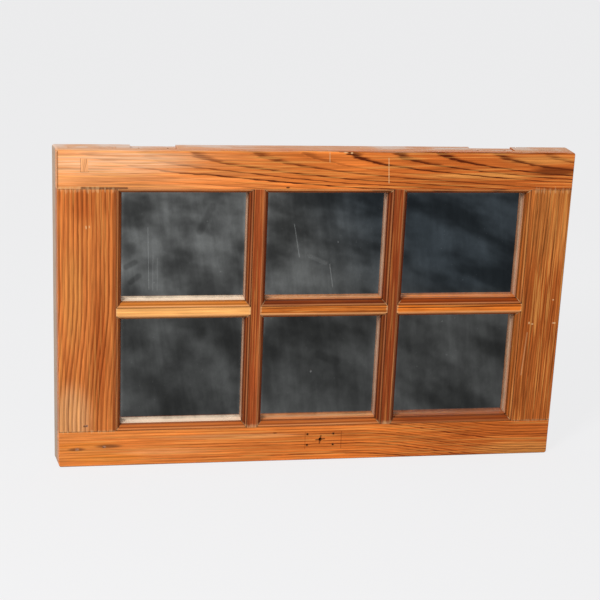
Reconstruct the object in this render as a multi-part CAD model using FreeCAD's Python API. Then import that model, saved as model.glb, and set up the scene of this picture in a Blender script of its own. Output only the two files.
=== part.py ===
import FreeCAD, Part
import math
import os

# A six-light casement sash laid on its side and glazed with mirror.
# Millimetres. X runs along the sash, Y from the front to the back, and Z is up.
# The origin is on the bottom edge, under the middle of the front face, at half the thickness.

# Sash
sash_width = 660.0  # front face, end to end
sash_height = 419.0
sash_thickness = 35.0
sill_bevel = 5.5  # how far the left edge runs out towards the back
corner_radius = 3.0  # worn corners at the ends of the rails
arris_chamfer = 0.9  # eased outer edges

# Flat faces of the members, without their mouldings
top_rail_face = 48.8
bottom_rail_face = 48.8
left_stile_face = 72.6
right_stile_face = 53.9
muntin_face = 12.7
crossbar_face = 10.5
left_muntin_shift = 2.0  # to the right of an even spacing
crossbar_rise = 0.9  # above an even spacing

# Moulding round each light, from the flat face in to the sight edge
moulding_width = 6.5
quirk_depth = 1.2  # step down from the flat face
quirk_width = 0.5
ovolo_depth = 10.5  # from the front face to the foot of the curve
fillet_width = 0.7  # narrow flat below the curve
glass_depth = 20.5  # from the front face to the mirror

# Joints
tenon_setback = 10.0  # from the front face
tenon_thickness = 11.0
stile_haunch = 16.0  # from the outer edge of a stile to its tenon
wedge_width = 3.0
wedge_length = 34.0
muntin_tenon_length = 20.0
crossbar_tenon_length = 16.0  # into the stiles

# Glazing
mirror_thickness = 4.0
mirror_edge_gap = 1.5
putty_width = 6.0
putty_setback = 1.0  # from the back face
point_width = 9.0
point_thickness = 0.7
point_grip = 3.5  # over the mirror
point_drive = 4.5  # into the wood

# Hinge gains in the top edge, cut in from the back
gain_length = 57.0
gain_depth = 2.2
gain_width = 24.0
left_gain_inset = 118.5  # from the left end to the middle of the gain
right_gain_inset = 106.0  # from the right end
gain_hole_spacing = 36.0
gain_hole_radius = 1.5
gain_hole_depth = 15.0

# Holes of the catch that was taken off the bottom rail
catch_x = 13.0  # right of the middle
catch_z = 29.3  # above the bottom edge
catch_hole_spacing_x = 35.0
catch_hole_spacing_z = 15.5
catch_hole_radius = 1.3
catch_hole_depth = 12.0
spindle_hole_radius = 2.4
spindle_hole_depth = 15.0

# Peg and nails in the left joints
peg_inset = 33.5  # from the left end
peg_below_top = 19.0
peg_width = 8.5
peg_height = 16.0
peg_depth = 24.0
nail_shank = 2.4  # square, as cut nails are
nail_length = 27.0
nail_head_width = 4.2
nail_head_height = 3.0
nail_head_thickness = 1.2
inner_nail = (57.6, 27.0)  # from the left end, and above the bottom edge
outer_nail = (23.0, 24.5)
shoulder_nail = (35.0, 8.0)  # from the left end, and above the shoulder line

# Ring hangers on the backs of the stiles
hanger_below_top = 101.0  # to the ring's axis
strap_width = 14.0
strap_metal = 0.9
strap_fold_angle = 25.0
ring_wire_radius = 1.2
ring_wire_sides = 6
ring_running_gap = 0.08
ring_side_play = 0.5
ring_bend_radius = 2.0
ring_leg = 1.5
ring_rest_gap = 0.4
screw_spacing = 13.0
screw_edge = 6.5
screw_ring_gap = 1.5
screw_head_radius = 3.4
screw_head_height = 2.2
screw_head_cone = 1.1
screw_slot_width = 0.9
screw_slot_depth = 1.0
screw_shank_radius = 1.7
screw_length = 16.0
screw_point = 4.0
screw_hole_gap = 0.3

V = FreeCAD.Vector
ALONG = V(1, 0, 0)
DEEP = V(0, 1, 0)
UP = V(0, 0, 1)

# Levels that several pieces share
front = -sash_thickness / 2
back = sash_thickness / 2
left_end = -sash_width / 2
right_end = sash_width / 2
mirror_front = front + glass_depth
mirror_back = mirror_front + mirror_thickness
putty_back = back - putty_setback
tenon_front = front + tenon_setback
tenon_back = tenon_front + tenon_thickness
stile_bottom = bottom_rail_face
stile_top = sash_height - top_rail_face
left_flat = left_end + left_stile_face
right_flat = right_end - right_stile_face
left_gain_x = left_end + left_gain_inset
right_gain_x = right_end - right_gain_inset
peg_x = left_end + peg_inset
hanger_height = sash_height - hanger_below_top

# Lights, as the rectangles that the flat faces leave open
columns = ("left", "middle", "right")
rows = ("bottom", "top")
even_width = (right_flat - left_flat - 2 * muntin_face) / len(columns)
even_height = (stile_top - stile_bottom - crossbar_face) / len(rows)
left_muntin_x = left_flat + even_width + left_muntin_shift
right_muntin_x = right_flat - even_width - muntin_face
crossbar_z = stile_bottom + even_height + crossbar_rise
column_spans = {
    "left": (left_flat, left_muntin_x),
    "middle": (left_muntin_x + muntin_face, right_muntin_x),
    "right": (right_muntin_x + muntin_face, right_flat),
}
row_spans = {
    "bottom": (stile_bottom, crossbar_z),
    "top": (crossbar_z + crossbar_face, stile_top),
}
lights = {(row, column): column_spans[column] + row_spans[row] for column in columns for row in rows}

left_muntin_flats = (lights["top", "left"][1], lights["top", "middle"][0])
right_muntin_flats = (lights["top", "middle"][1], lights["top", "right"][0])
crossbar_flats = (lights["bottom", "left"][3], lights["top", "left"][2])


def block(x0, x1, y0, y1, z0, z1):
    return Part.makeBox(x1 - x0, y1 - y0, z1 - z0, V(x0, y0, z0))


def prism(points, push):
    """A flat outline through the points, pushed along a vector."""
    return Part.Face(Part.makePolygon(points + points[:1])).extrude(push)


def rod(centre, direction, radius, length):
    return Part.makeCylinder(radius, length, centre, direction)


def line(a, b):
    return Part.LineSegment(a, b).toShape()


def group(solids):
    return Part.makeCompound([s for shape in solids for s in shape.Solids])


# Mouldings and other strips round a light


def side_frame(light, side):
    """One side of a light: its corner, the way it runs, the way into the light, and its length."""
    x0, x1, z0, z1 = light
    frames = {
        "bottom": (V(x0, 0, z0), ALONG, UP, x1 - x0),
        "top": (V(x0, 0, z1), ALONG, -UP, x1 - x0),
        "left": (V(x0, 0, z0), UP, ALONG, z1 - z0),
        "right": (V(x1, 0, z0), UP, -ALONG, z1 - z0),
    }
    return frames[side]


def mitred_strip(light, side, section, width):
    """A strip of the given section along one side of a light, mitred at both ends."""
    corner, run, inward, length = side_frame(light, side)

    def at(along, into, y):
        return corner + run * along + inward * into + DEEP * y

    def section_point(into, y):
        return at(0, into, y)

    bar = Part.Face(Part.Wire(section(section_point))).extrude(run * length)
    plan = [
        at(0, 0, front),
        at(length, 0, front),
        at(length - width, width, front),
        at(width, width, front),
    ]
    return bar.common(prism(plan, DEEP * sash_thickness))


def sticking_section(p):
    """Quirk, ovolo, fillet and square sight edge, down to the mirror."""
    curve_width = moulding_width - quirk_width - fillet_width
    curve_depth = ovolo_depth - quirk_depth
    middle = math.sqrt(0.5)
    quirk_foot = p(0, front + quirk_depth)
    curve_start = p(quirk_width, front + quirk_depth)
    curve_middle = p(
        quirk_width + curve_width * middle,
        front + ovolo_depth - curve_depth * middle,
    )
    curve_end = p(quirk_width + curve_width, front + ovolo_depth)
    sight_edge = p(moulding_width, front + ovolo_depth)
    mirror_edge = p(moulding_width, mirror_front)
    mirror_root = p(0, mirror_front)
    return [
        line(quirk_foot, curve_start),
        Part.Arc(curve_start, curve_middle, curve_end).toShape(),
        line(curve_end, sight_edge),
        line(sight_edge, mirror_edge),
        line(mirror_edge, mirror_root),
        line(mirror_root, quirk_foot),
    ]


def putty_section(p):
    """The sloping fillet from the mirror's back up to the wall of the rebate."""
    root = p(0, mirror_back)
    toe = p(putty_width, mirror_back)
    top = p(0, putty_back)
    return [line(root, toe), line(toe, top), line(top, root)]


def mouldings(*places):
    return [mitred_strip(lights[row, column], side, sticking_section, moulding_width)
            for row, column, side in places]


def putty(light):
    return [mitred_strip(light, side, putty_section, putty_width)
            for side in ("bottom", "top", "left", "right")]


def glazing_points(light):
    """One flat steel triangle in the middle of each side, driven into the wood over the mirror."""
    points = []
    for side in ("bottom", "top", "left", "right"):
        corner, run, inward, length = side_frame(light, side)
        middle = corner + run * (length / 2) + DEEP * mirror_back
        outline = [
            middle + inward * point_grip - run * (point_width / 2),
            middle + inward * point_grip + run * (point_width / 2),
            middle - inward * point_drive,
        ]
        points.append(prism(outline, DEEP * point_thickness))
    return points


def mirror(light):
    x0, x1, z0, z1 = light
    return block(
        x0 + mirror_edge_gap,
        x1 - mirror_edge_gap,
        mirror_front,
        mirror_back,
        z0 + mirror_edge_gap,
        z1 - mirror_edge_gap,
    )


# Rails and stiles


def on_face(edge, y):
    return all(abs(v.Point.y - y) < 1e-6 for v in edge.Vertexes)


def at_height(edge, z):
    return all(abs(v.Point.z - z) < 1e-6 for v in edge.Vertexes)


def along_x(edge):
    return abs(edge.Vertexes[0].Point.z - edge.Vertexes[-1].Point.z) < 1e-6 and (
        on_face(edge, front) or on_face(edge, back)
    )


def rail_blank(outer, shoulder):
    """The flat part of a rail between its outer edge and its shoulder line, with worn corners."""
    plan = [
        V(left_end, front, shoulder),
        V(right_end, front, shoulder),
        V(right_end, back, shoulder),
        V(left_end - sill_bevel, back, shoulder),
    ]
    blank = prism(plan, UP * (outer - shoulder))
    corners = [e for e in blank.Edges if at_height(e, outer) and not along_x(e)]
    blank = blank.makeFillet(corner_radius, corners)
    arrises = [
        e
        for e in blank.Edges
        if (on_face(e, front) or on_face(e, back)) and not at_height(e, shoulder)
    ]
    return blank.makeChamfer(arris_chamfer, arrises)


def stile_blank(outer_front, outer_back, flat):
    """The flat part of a stile between the rails, with its outer edges eased."""
    plan = [
        V(outer_front, front, stile_bottom),
        V(flat, front, stile_bottom),
        V(flat, back, stile_bottom),
        V(outer_back, back, stile_bottom),
    ]
    blank = prism(plan, UP * (stile_top - stile_bottom))
    outer = (outer_front, outer_back)
    arrises = [
        e
        for e in blank.Edges
        if (on_face(e, front) or on_face(e, back))
        and not at_height(e, stile_bottom)
        and not at_height(e, stile_top)
        and any(abs(e.Vertexes[0].Point.x - x) < 1e-6 for x in outer)
    ]
    return blank.makeChamfer(arris_chamfer, arrises)


left_tenon = (left_end + stile_haunch, left_flat)
right_tenon = (right_flat, right_end - stile_haunch)


def through_tenon(span):
    """A stile's tenons, which run through both rails to their outer edges."""
    x0, x1 = span
    return [
        block(x0, x1, tenon_front, tenon_back, 0, stile_bottom),
        block(x0, x1, tenon_front, tenon_back, stile_top, sash_height),
    ]


def wedges(span):
    """The pairs of wedges that spread a stile's tenons at the outer edges of the rails."""
    solids = []
    for outer, inward in ((0.0, UP), (sash_height, -UP)):
        for x, outward in ((span[0], -ALONG), (span[1], ALONG)):
            mouth = V(x, tenon_front, outer)
            outline = [mouth, mouth + outward * wedge_width, mouth + inward * wedge_length]
            solids.append(prism(outline, DEEP * tenon_thickness))
    return solids


def muntin_tenons(flats):
    x0, x1 = flats
    low, high = stile_bottom - muntin_tenon_length, stile_top + muntin_tenon_length
    return [
        block(x0, x1, tenon_front, tenon_back, low, stile_bottom),
        block(x0, x1, tenon_front, tenon_back, stile_top, high),
    ]


def muntin(flats, left_column, right_column):
    """A bar between two columns of lights, tenoned into the rails and mortised for the crossbars."""
    bar = block(*flats, front, back, stile_bottom, stile_top)
    sides = [(row, left_column, "right") for row in rows]
    sides += [(row, right_column, "left") for row in rows]
    bar = bar.fuse(muntin_tenons(flats) + mouldings(*sides))
    return bar.cut(block(*flats, tenon_front, tenon_back, *crossbar_flats))


def crossbar(column):
    """A short bar between the two rows of lights, with a stub tenon at each end."""
    x0, x1 = lights["top", column][:2]
    half = muntin_face / 2
    left_stub = crossbar_tenon_length if column == columns[0] else half
    right_stub = crossbar_tenon_length if column == columns[-1] else half
    bar = block(x0, x1, front, back, *crossbar_flats)
    tenon = block(x0 - left_stub, x1 + right_stub, tenon_front, tenon_back, *crossbar_flats)
    sides = (("top", column, "bottom"), ("bottom", column, "top"))
    return bar.fuse([tenon] + mouldings(*sides))


def gain(x):
    """The seat of a hinge leaf in the top edge, with its two screw holes."""
    floor = sash_height - gain_depth
    seat = block(x - gain_length / 2, x + gain_length / 2, back - gain_width, back, floor, sash_height)
    holes = [
        rod(V(x + side * gain_hole_spacing / 2, back - gain_width / 2, floor), -UP,
            gain_hole_radius, gain_hole_depth)
        for side in (-1, 1)
    ]
    return [seat] + holes


def catch_holes():
    """Four screw holes and the spindle hole of the missing catch."""
    holes = [
        rod(V(catch_x + i * catch_hole_spacing_x / 2, front, catch_z + k * catch_hole_spacing_z / 2),
            DEEP, catch_hole_radius, catch_hole_depth)
        for i in (-1, 1)
        for k in (-1, 1)
    ]
    return holes + [rod(V(catch_x, front, catch_z), DEEP, spindle_hole_radius, spindle_hole_depth)]


# Peg and nails


def bar_in(x, z, width, height, depth):
    """A rectangular bar driven in from the front face, centred on a point of it."""
    return block(x - width / 2, x + width / 2, front, front + depth, z - height / 2, z + height / 2)


def nail(inset, z):
    """A cut nail, with its oblong head set flush with the front face."""
    x = left_end + inset
    head = bar_in(x, z, nail_head_width, nail_head_height, nail_head_thickness)
    return head.fuse(bar_in(x, z, nail_shank, nail_shank, nail_length))


# Ring hangers, built about the ring's axis and then put in place

barrel_inner = ring_wire_radius + ring_running_gap
barrel_outer = barrel_inner + strap_metal
axis_height = barrel_outer  # of the ring's axis above the wood
ring_straight = strap_width / 2 + ring_side_play
ring_half_width = ring_straight + ring_bend_radius
ring_centre_drop = ring_bend_radius + ring_leg
ring_reach = ring_centre_drop + ring_half_width
rest_lift = 2 * strap_metal + ring_rest_gap + ring_wire_radius - axis_height
ring_rest_angle = math.degrees(math.asin(rest_lift / ring_reach))
first_screw = ring_reach + ring_wire_radius + screw_ring_gap + screw_head_radius
screw_drops = (first_screw, first_screw + screw_spacing)
strap_drop = screw_drops[-1] + screw_edge


def fold_line(radius, height):
    """Where the strap's return leaves the barrel at this radius and comes down to this height."""
    angle = math.radians(strap_fold_angle)
    leave = V(0, radius * math.cos(angle), -radius * math.sin(angle))
    run = (leave.y + axis_height - height) / math.sin(angle)
    land = leave + V(0, -math.sin(angle), -math.cos(angle)) * run
    return leave, land


def strap():
    """A steel strip folded in two round the ring's bar, with a rounded end and two screw holes."""
    wood = -axis_height
    outer_leave, outer_land = fold_line(barrel_outer, 2 * strap_metal)
    outer_top = V(0, 0, barrel_outer)
    outline = [
        line(V(0, wood, -strap_drop), V(0, wood, 0)),
        Part.Arc(V(0, wood, 0), outer_top, outer_leave).toShape(),
        line(outer_leave, outer_land),
        line(outer_land, V(0, outer_land.y, -strap_drop)),
        line(V(0, outer_land.y, -strap_drop), V(0, wood, -strap_drop)),
    ]
    inner_leave, inner_land = fold_line(barrel_inner, strap_metal)
    inner_start = V(0, -barrel_inner, 0)
    eye = [
        line(inner_land, inner_start),
        Part.Arc(inner_start, V(0, 0, barrel_inner), inner_leave).toShape(),
        line(inner_leave, inner_land),
    ]
    half = strap_width / 2
    body = Part.Face(Part.Wire(outline)).extrude(ALONG * strap_width)
    body = body.cut(Part.Face(Part.Wire(eye)).extrude(ALONG * strap_width))
    body.translate(ALONG * -half)
    end_centre = V(0, wood, half - strap_drop)
    reach = 2 * barrel_outer
    shape = block(-half, half, wood, wood + reach, end_centre.z, barrel_outer)
    shape = shape.fuse(rod(end_centre, DEEP, half, reach))
    holes = [rod(V(0, wood, -d), DEEP, screw_shank_radius + screw_hole_gap, reach) for d in screw_drops]
    return body.common(shape).cut(holes)


def wire_section(centre, across):
    """The many-sided section of the ring's wire, in the plane of two directions."""
    corners = []
    for i in range(ring_wire_sides):
        turn = 2 * math.pi * i / ring_wire_sides
        corners.append(centre + (across * math.cos(turn) + DEEP * math.sin(turn)) * ring_wire_radius)
    return Part.Face(Part.makePolygon(corners + corners[:1]))


def wire_bend(start, centre, angle):
    """Wire from a start point, bent about a centre in the ring's plane."""
    across = (start - centre).normalize()
    return wire_section(start, across).revolve(centre, DEEP, angle)


def ring():
    """A closed D of wire, hanging from its straight bar and tilted to rest on the strap."""
    bar = wire_section(V(-ring_straight, 0, 0), UP).extrude(ALONG * 2 * ring_straight)
    pieces = []
    for side in (-1, 1):
        start = V(side * ring_straight, 0, 0)
        pieces.append(wire_bend(start, start - UP * ring_bend_radius, side * 90))
        leg_top = V(side * ring_half_width, 0, -ring_bend_radius)
        pieces.append(wire_section(leg_top, ALONG * side).extrude(-UP * ring_leg))
    bow_start = V(ring_half_width, 0, -ring_centre_drop)
    pieces.append(wire_bend(bow_start, V(0, 0, -ring_centre_drop), 180))
    closed = bar.fuse(pieces).removeSplitter()
    closed.rotate(V(0, 0, 0), ALONG, ring_rest_angle)
    return closed


def hanger_screw(drop):
    """A slotted round-head screw through the strap, with a plain shank and a point."""
    seat = V(0, 2 * strap_metal - axis_height, -drop)
    head = rod(seat, DEEP, screw_head_radius, screw_head_height)
    crown = [e for e in head.Edges if on_face(e, seat.y + screw_head_height)]
    head = head.makeChamfer(screw_head_cone, crown[:1])
    top = seat.y + screw_head_height
    half_slot = screw_slot_width / 2
    head = head.cut(
        block(-screw_head_radius, screw_head_radius, top - screw_slot_depth, top,
              seat.z - half_slot, seat.z + half_slot)
    )
    shank = rod(seat, -DEEP, screw_shank_radius, screw_length - screw_point)
    tip_base = seat - DEEP * (screw_length - screw_point)
    tip = Part.makeCone(screw_shank_radius, 0, screw_point, tip_base, -DEEP)
    return head.fuse([shank, tip]).removeSplitter()


def placed(shape, x):
    """A copy of a hanger piece with the ring's axis at its place on a stile."""
    copy = shape.copy()
    copy.translate(V(x, back + axis_height, hanger_height))
    return copy


left_hanger_x = (left_end + left_flat) / 2
right_hanger_x = (right_end + right_flat) / 2

# Fasteners, which are also the cutters of their own holes
points = {place: glazing_points(light) for place, light in lights.items()}
all_points = [p for solids in points.values() for p in solids]
all_wedges = wedges(left_tenon) + wedges(right_tenon)
tenon_peg = bar_in(peg_x, sash_height - peg_below_top, peg_width, peg_height, peg_depth)
nails = [nail(*inner_nail), nail(*outer_nail), nail(shoulder_nail[0], stile_bottom + shoulder_nail[1])]
screws = [placed(hanger_screw(d), x) for x in (left_hanger_x, right_hanger_x) for d in screw_drops]
fasteners = all_points + all_wedges + [tenon_peg] + nails + screws
stile_tenons = through_tenon(left_tenon) + through_tenon(right_tenon)
bar_tenons = muntin_tenons(left_muntin_flats) + muntin_tenons(right_muntin_flats)

parts = {}

top_rail = rail_blank(sash_height, stile_top)
top_rail = top_rail.fuse(mouldings(*[("top", column, "top") for column in columns]))
gains = gain(left_gain_x) + gain(right_gain_x)
parts["top_rail"] = top_rail.cut(stile_tenons + bar_tenons + gains + fasteners)

bottom_rail = rail_blank(0.0, stile_bottom)
bottom_rail = bottom_rail.fuse(mouldings(*[("bottom", column, "bottom") for column in columns]))
parts["bottom_rail"] = bottom_rail.cut(stile_tenons + bar_tenons + catch_holes() + fasteners)

left_stile = stile_blank(left_end, left_end - sill_bevel, left_flat)
left_stile = left_stile.fuse(through_tenon(left_tenon) + mouldings(*[(row, "left", "left") for row in rows]))
right_stile = stile_blank(right_end, right_end, right_flat)
right_stile = right_stile.fuse(through_tenon(right_tenon) + mouldings(*[(row, "right", "right") for row in rows]))
stile_mortise = block(left_flat - crossbar_tenon_length, right_flat + crossbar_tenon_length,
                      tenon_front, tenon_back, *crossbar_flats)
parts["left_stile"] = left_stile.cut([stile_mortise] + fasteners)
parts["right_stile"] = right_stile.cut([stile_mortise] + fasteners)

parts["left_muntin"] = muntin(left_muntin_flats, "left", "middle").cut(fasteners)
parts["right_muntin"] = muntin(right_muntin_flats, "middle", "right").cut(fasteners)
for column in columns:
    parts[f"{column}_crossbar"] = crossbar(column).cut(fasteners)

for (row, column), light in lights.items():
    parts[f"mirror_{row}_{column}"] = mirror(light)
    parts[f"putty_{row}_{column}"] = group(p.cut(points[row, column]) for p in putty(light))

parts["glazing_points"] = group(all_points)
parts["tenon_wedges"] = group(all_wedges)
parts["tenon_peg"] = tenon_peg
parts["joint_nails"] = group(nails)
parts["hanger_screws"] = group(screws)
for side, x in (("left", left_hanger_x), ("right", right_hanger_x)):
    parts[f"{side}_hanger_strap"] = placed(strap(), x)
    parts[f"{side}_hanger_ring"] = placed(ring(), x)

os.makedirs("parts", exist_ok=True)
for name, shape in parts.items():
    tidy = shape.removeSplitter()
    if len(tidy.Solids) == 1:
        tidy = tidy.Solids[0]
    tidy.exportStep(f"parts/{name}.step")
    print(name, len(tidy.Solids), "valid" if tidy.isValid() else "NOT VALID", round(tidy.Volume, 1))
print("ring rests at", round(ring_rest_angle, 2), "degrees; axis", round(back + axis_height, 3), hanger_height)
print("hanger x", left_hanger_x, right_hanger_x)
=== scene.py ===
import functools
import math
from dataclasses import dataclass

import bpy
from mathutils import Matrix, Vector


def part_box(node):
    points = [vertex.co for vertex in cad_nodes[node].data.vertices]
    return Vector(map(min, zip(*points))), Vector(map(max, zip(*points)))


# The looks of a window mirror: an old varnished sash, glazed with mirror, on a plain pale floor.
# Metres. X runs along the sash, Y from the front to the back, and Z is up.

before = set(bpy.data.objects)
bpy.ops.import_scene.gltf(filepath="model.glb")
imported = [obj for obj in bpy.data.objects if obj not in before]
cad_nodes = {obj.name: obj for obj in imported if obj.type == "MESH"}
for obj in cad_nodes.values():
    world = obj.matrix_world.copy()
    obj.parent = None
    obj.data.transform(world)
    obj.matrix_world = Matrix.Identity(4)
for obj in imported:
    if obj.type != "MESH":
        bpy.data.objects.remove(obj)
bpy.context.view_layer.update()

# Photograph's camera
PHOTO_EYE = Vector((-0.3482, -1.7923, 0.7939))
PHOTO_YAW = math.radians(10.40)
PHOTO_PITCH = math.radians(-17.52)
PHOTO_ROLL = math.radians(2.51)
PHOTO_PIXELS = 600
FOCAL_PIXELS = 1470.1
SENSOR_WIDTH = 36.0

# Levels of the sash that the finishes follow
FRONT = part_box("top_rail")[0].y
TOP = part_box("top_rail")[1].z
LEFT_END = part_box("left_stile")[0].x
RIGHT_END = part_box("right_stile")[1].x
GLASS_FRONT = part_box("mirror_top_left")[0].y
GLASS_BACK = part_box("mirror_top_left")[1].y
OVOLO_DEPTH = 0.0105  # from the front face to the foot of the moulding
SIGHT_EDGE = FRONT + OVOLO_DEPTH
REBATE_GAP = 0.0015  # round each pane


def light_span(node, axis):
    """From where to where a light is open between the flat faces, along one axis."""
    low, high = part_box(node)
    return low[axis] - REBATE_GAP, high[axis] + REBATE_GAP


COLUMNS = [light_span(f"mirror_top_{column}", 0) for column in ("left", "middle", "right")]
ROWS = [light_span(f"mirror_{row}_left", 2) for row in ("bottom", "top")]
LEFT_FLAT = COLUMNS[0][0]
RIGHT_FLAT = COLUMNS[-1][1]
SHOULDER_LOW = ROWS[0][0]
SHOULDER_HIGH = ROWS[-1][1]


def srgb(red, green, blue):
    """A colour as it is seen on a screen, from 0 to 255, as the linear one that a shader takes."""
    def linear(value):
        share = value / 255
        return share / 12.92 if share <= 0.04045 else ((share + 0.055) / 1.055) ** 2.4
    return (linear(red), linear(green), linear(blue), 1.0)


# Colours
EARLY_WOOD = srgb(226, 128, 50)
# late wood, also the painted shade on the shaded sides of the mouldings
LATE_WOOD_AND_SHADE = srgb(98, 36, 9)
AGED_VARNISH = srgb(136, 54, 14)
RED_VARNISH = srgb(176, 80, 26)
# dark old varnish with painted shade, along the inner edge of the left stile
INNER_VARNISH_AND_SHADE = srgb(112, 44, 18)
HONEY = srgb(232, 138, 42)
FLAME = srgb(240, 164, 84)
# pale wood, also the painted highlight on the crests and arrises of the mouldings and along edges
PALE_WOOD_AND_HIGHLIGHT = srgb(244, 178, 118)
PINK_WOOD = srgb(252, 196, 150)
WARM_WOOD = srgb(226, 142, 82)
BARE_FIBRE = srgb(240, 192, 138)
# dark joints, cracks and grime, also the painted shade in corners and recesses
GRIME_AND_SHADE = srgb(44, 22, 13)
# dust with painted highlight on the upward ledges at the left
LEDGE_DUST_AND_HIGHLIGHT = srgb(255, 232, 206)
WARM_DUST = srgb(240, 192, 142)
# dust with painted highlight on the left-facing flanks beside the mirror
FLANK_DUST_AND_HIGHLIGHT = srgb(212, 176, 146)
GREYED_WOOD = srgb(136, 104, 78)
OLD_PAINT = srgb(194, 168, 146)
WASHED_PAINT = srgb(244, 194, 158)
PAINT_FLAKES = srgb(248, 230, 218)
NAIL_STAIN = srgb(70, 42, 34)
SILVER = srgb(236, 240, 240)
MIRROR_BACKING = srgb(112, 108, 104)
PUTTY = srgb(205, 196, 178)
ZINC = srgb(206, 205, 200)
RUST = srgb(112, 62, 34)
IRON = srgb(176, 128, 98)


# Shader arithmetic


def feed(tree, socket, value):
    """Links a field or a socket to an input, or writes a constant there."""
    if isinstance(value, Field):
        value = value.socket
    if isinstance(value, bpy.types.NodeSocket):
        tree.links.new(value, socket)
    else:
        socket.default_value = value


class Field:
    """A number that varies over a surface. Its arithmetic adds maths nodes to the tree."""

    def __init__(self, tree, socket):
        self.tree = tree
        self.socket = socket

    def maths(self, operation, *values):
        node = self.tree.nodes.new("ShaderNodeMath")
        node.operation = operation
        for socket, value in zip(node.inputs, values):
            feed(self.tree, socket, value)
        return Field(self.tree, node.outputs["Value"])

    def __add__(self, other):
        return self.maths("ADD", self, other)

    def __sub__(self, other):
        return self.maths("SUBTRACT", self, other)

    def __rsub__(self, other):
        return self.maths("SUBTRACT", other, self)

    def __mul__(self, other):
        return self.maths("MULTIPLY", self, other)

    def __truediv__(self, other):
        return self.maths("DIVIDE", self, other)

    __radd__ = __add__
    __rmul__ = __mul__

    def most(self, other):
        return self.maths("MAXIMUM", self, other)

    def least(self, other):
        return self.maths("MINIMUM", self, other)

    def root(self):
        return self.maths("SQRT", self)

    def size(self):
        return self.maths("ABSOLUTE", self)

    def whole(self):
        return self.maths("FLOOR", self)

    def part(self):
        return self.maths("FRACT", self)

    def band(self, low, high, soft):
        """One between low and high, with soft edges outside them."""
        return self.rise(low - soft, low) * self.fall(high, high + soft)

    def rise(self, low, high, start=0.0, end=1.0):
        """Nought below low, one above high, and a smooth rise between."""
        node = self.tree.nodes.new("ShaderNodeMapRange")
        node.interpolation_type = "SMOOTHSTEP"
        values = {"Value": self, "From Min": low, "From Max": high, "To Min": start, "To Max": end}
        for name, value in values.items():
            feed(self.tree, node.inputs[name], value)
        return Field(self.tree, node.outputs["Result"])

    def fall(self, low, high):
        """One below low, nought above high, and a smooth fall between."""
        return self.rise(low, high, 1.0, 0.0)


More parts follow.
